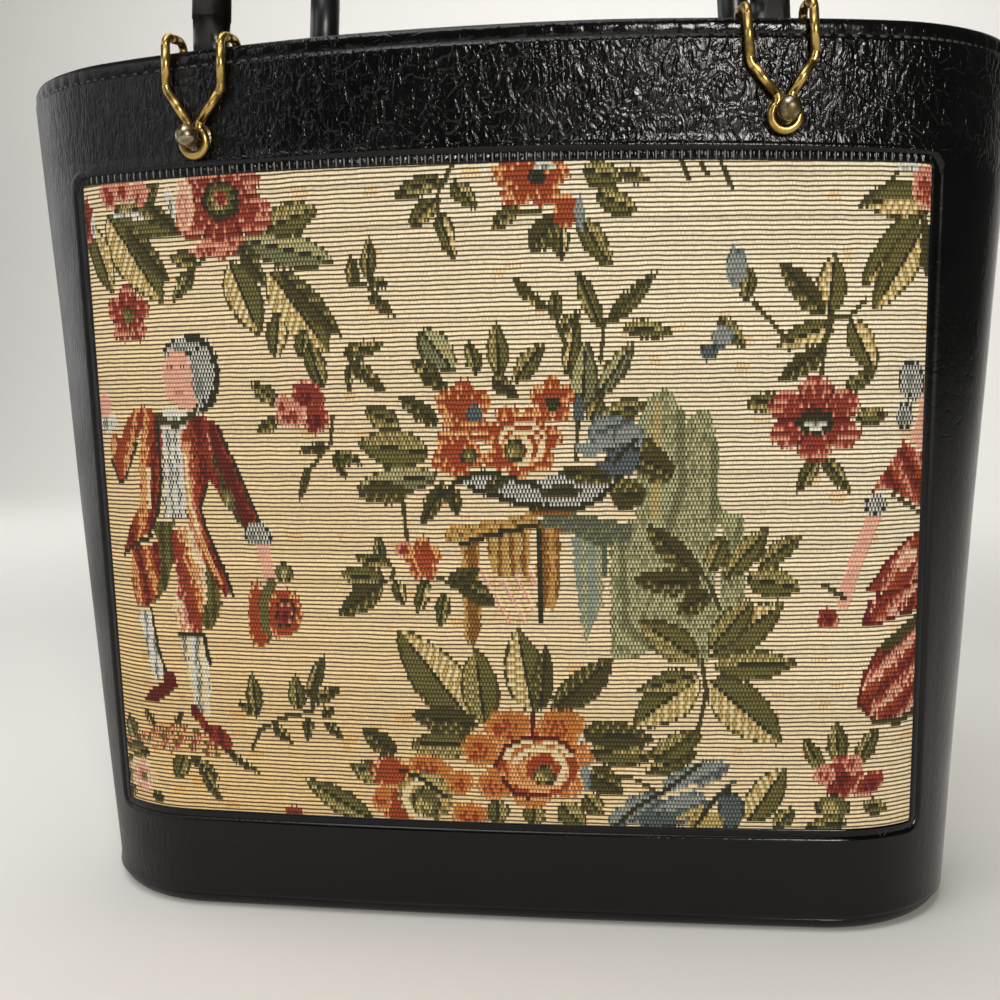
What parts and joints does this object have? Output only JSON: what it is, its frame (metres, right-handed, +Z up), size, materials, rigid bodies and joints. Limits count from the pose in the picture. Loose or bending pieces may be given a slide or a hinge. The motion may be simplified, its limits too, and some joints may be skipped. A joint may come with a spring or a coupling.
{
  "type": "tapestry handbag",
  "caption": "Flared oval handbag with a stiff black vinyl wall, a rib-woven tapestry window on each face, and tubular handles hung from brass wire bails on ball studs.",
  "frame": {"origin": "middle of the flat face that the bag stands on", "axes": "+Z up, +X along the bag's width to the viewer's right, -Y out of the front face"},
  "size_m": [0.2964, 0.1382, 0.3924],
  "materials": {
    "vinyl": "black crackle-grained vinyl, semi-gloss",
    "handle_vinyl": "smooth black vinyl, gloss",
    "tapestry": "rib-woven cotton tapestry with a coloured pattern",
    "lining": "plain woven lining",
    "board": "pressed paperboard, matt",
    "brass_wire": "polished brass wire with darkened bends",
    "stud_brass": "dulled brass with a worn plating"
  },
  "bodies": {
    "bag": {"body_board": "board", "base_board": "board", "base_cover": "vinyl", "lining": "lining", "mouth_facing": "vinyl", "front_vinyl_frame": "vinyl", "back_vinyl_frame": "vinyl", "front_tapestry_panel": "tapestry", "back_tapestry_panel": "tapestry", "front_window_binding": "vinyl", "back_window_binding": "vinyl", "front_left_stud": "stud_brass", "front_right_stud": "stud_brass", "rear_left_stud": "stud_brass", "rear_right_stud": "stud_brass", "front_left_washer": "stud_brass", "front_right_washer": "stud_brass", "rear_left_washer": "stud_brass", "rear_right_washer": "stud_brass"},
    "front_bails": {"front_left_bail": "brass_wire", "front_right_bail": "brass_wire"},
    "rear_bails": {"rear_left_bail": "brass_wire", "rear_right_bail": "brass_wire"},
    "front_grip": {"front_handle": "handle_vinyl"},
    "rear_grip": {"rear_handle": "handle_vinyl"}
  },
  "joints": [
    {"name": "front_bail_lift", "type": "slide", "parent": "bag", "child": "front_bails", "axis": [0, 0, 1], "range_m": [0, 0.0019]},
    {"name": "rear_bail_lift", "type": "slide", "parent": "bag", "child": "rear_bails", "axis": [0, 0, 1], "range_m": [0, 0.0019]},
    {"name": "front_handle_tilt", "type": "hinge", "parent": "front_bails", "child": "front_grip", "pos_m": [0, -0.05412, 0.2385], "axis": [-1, 0, 0], "range_deg": [-6, 18]},
    {"name": "rear_handle_tilt", "type": "hinge", "parent": "rear_bails", "child": "rear_grip", "pos_m": [0, 0.05412, 0.2385], "axis": [1, 0, 0], "range_deg": [-6, 18]}
  ]
}
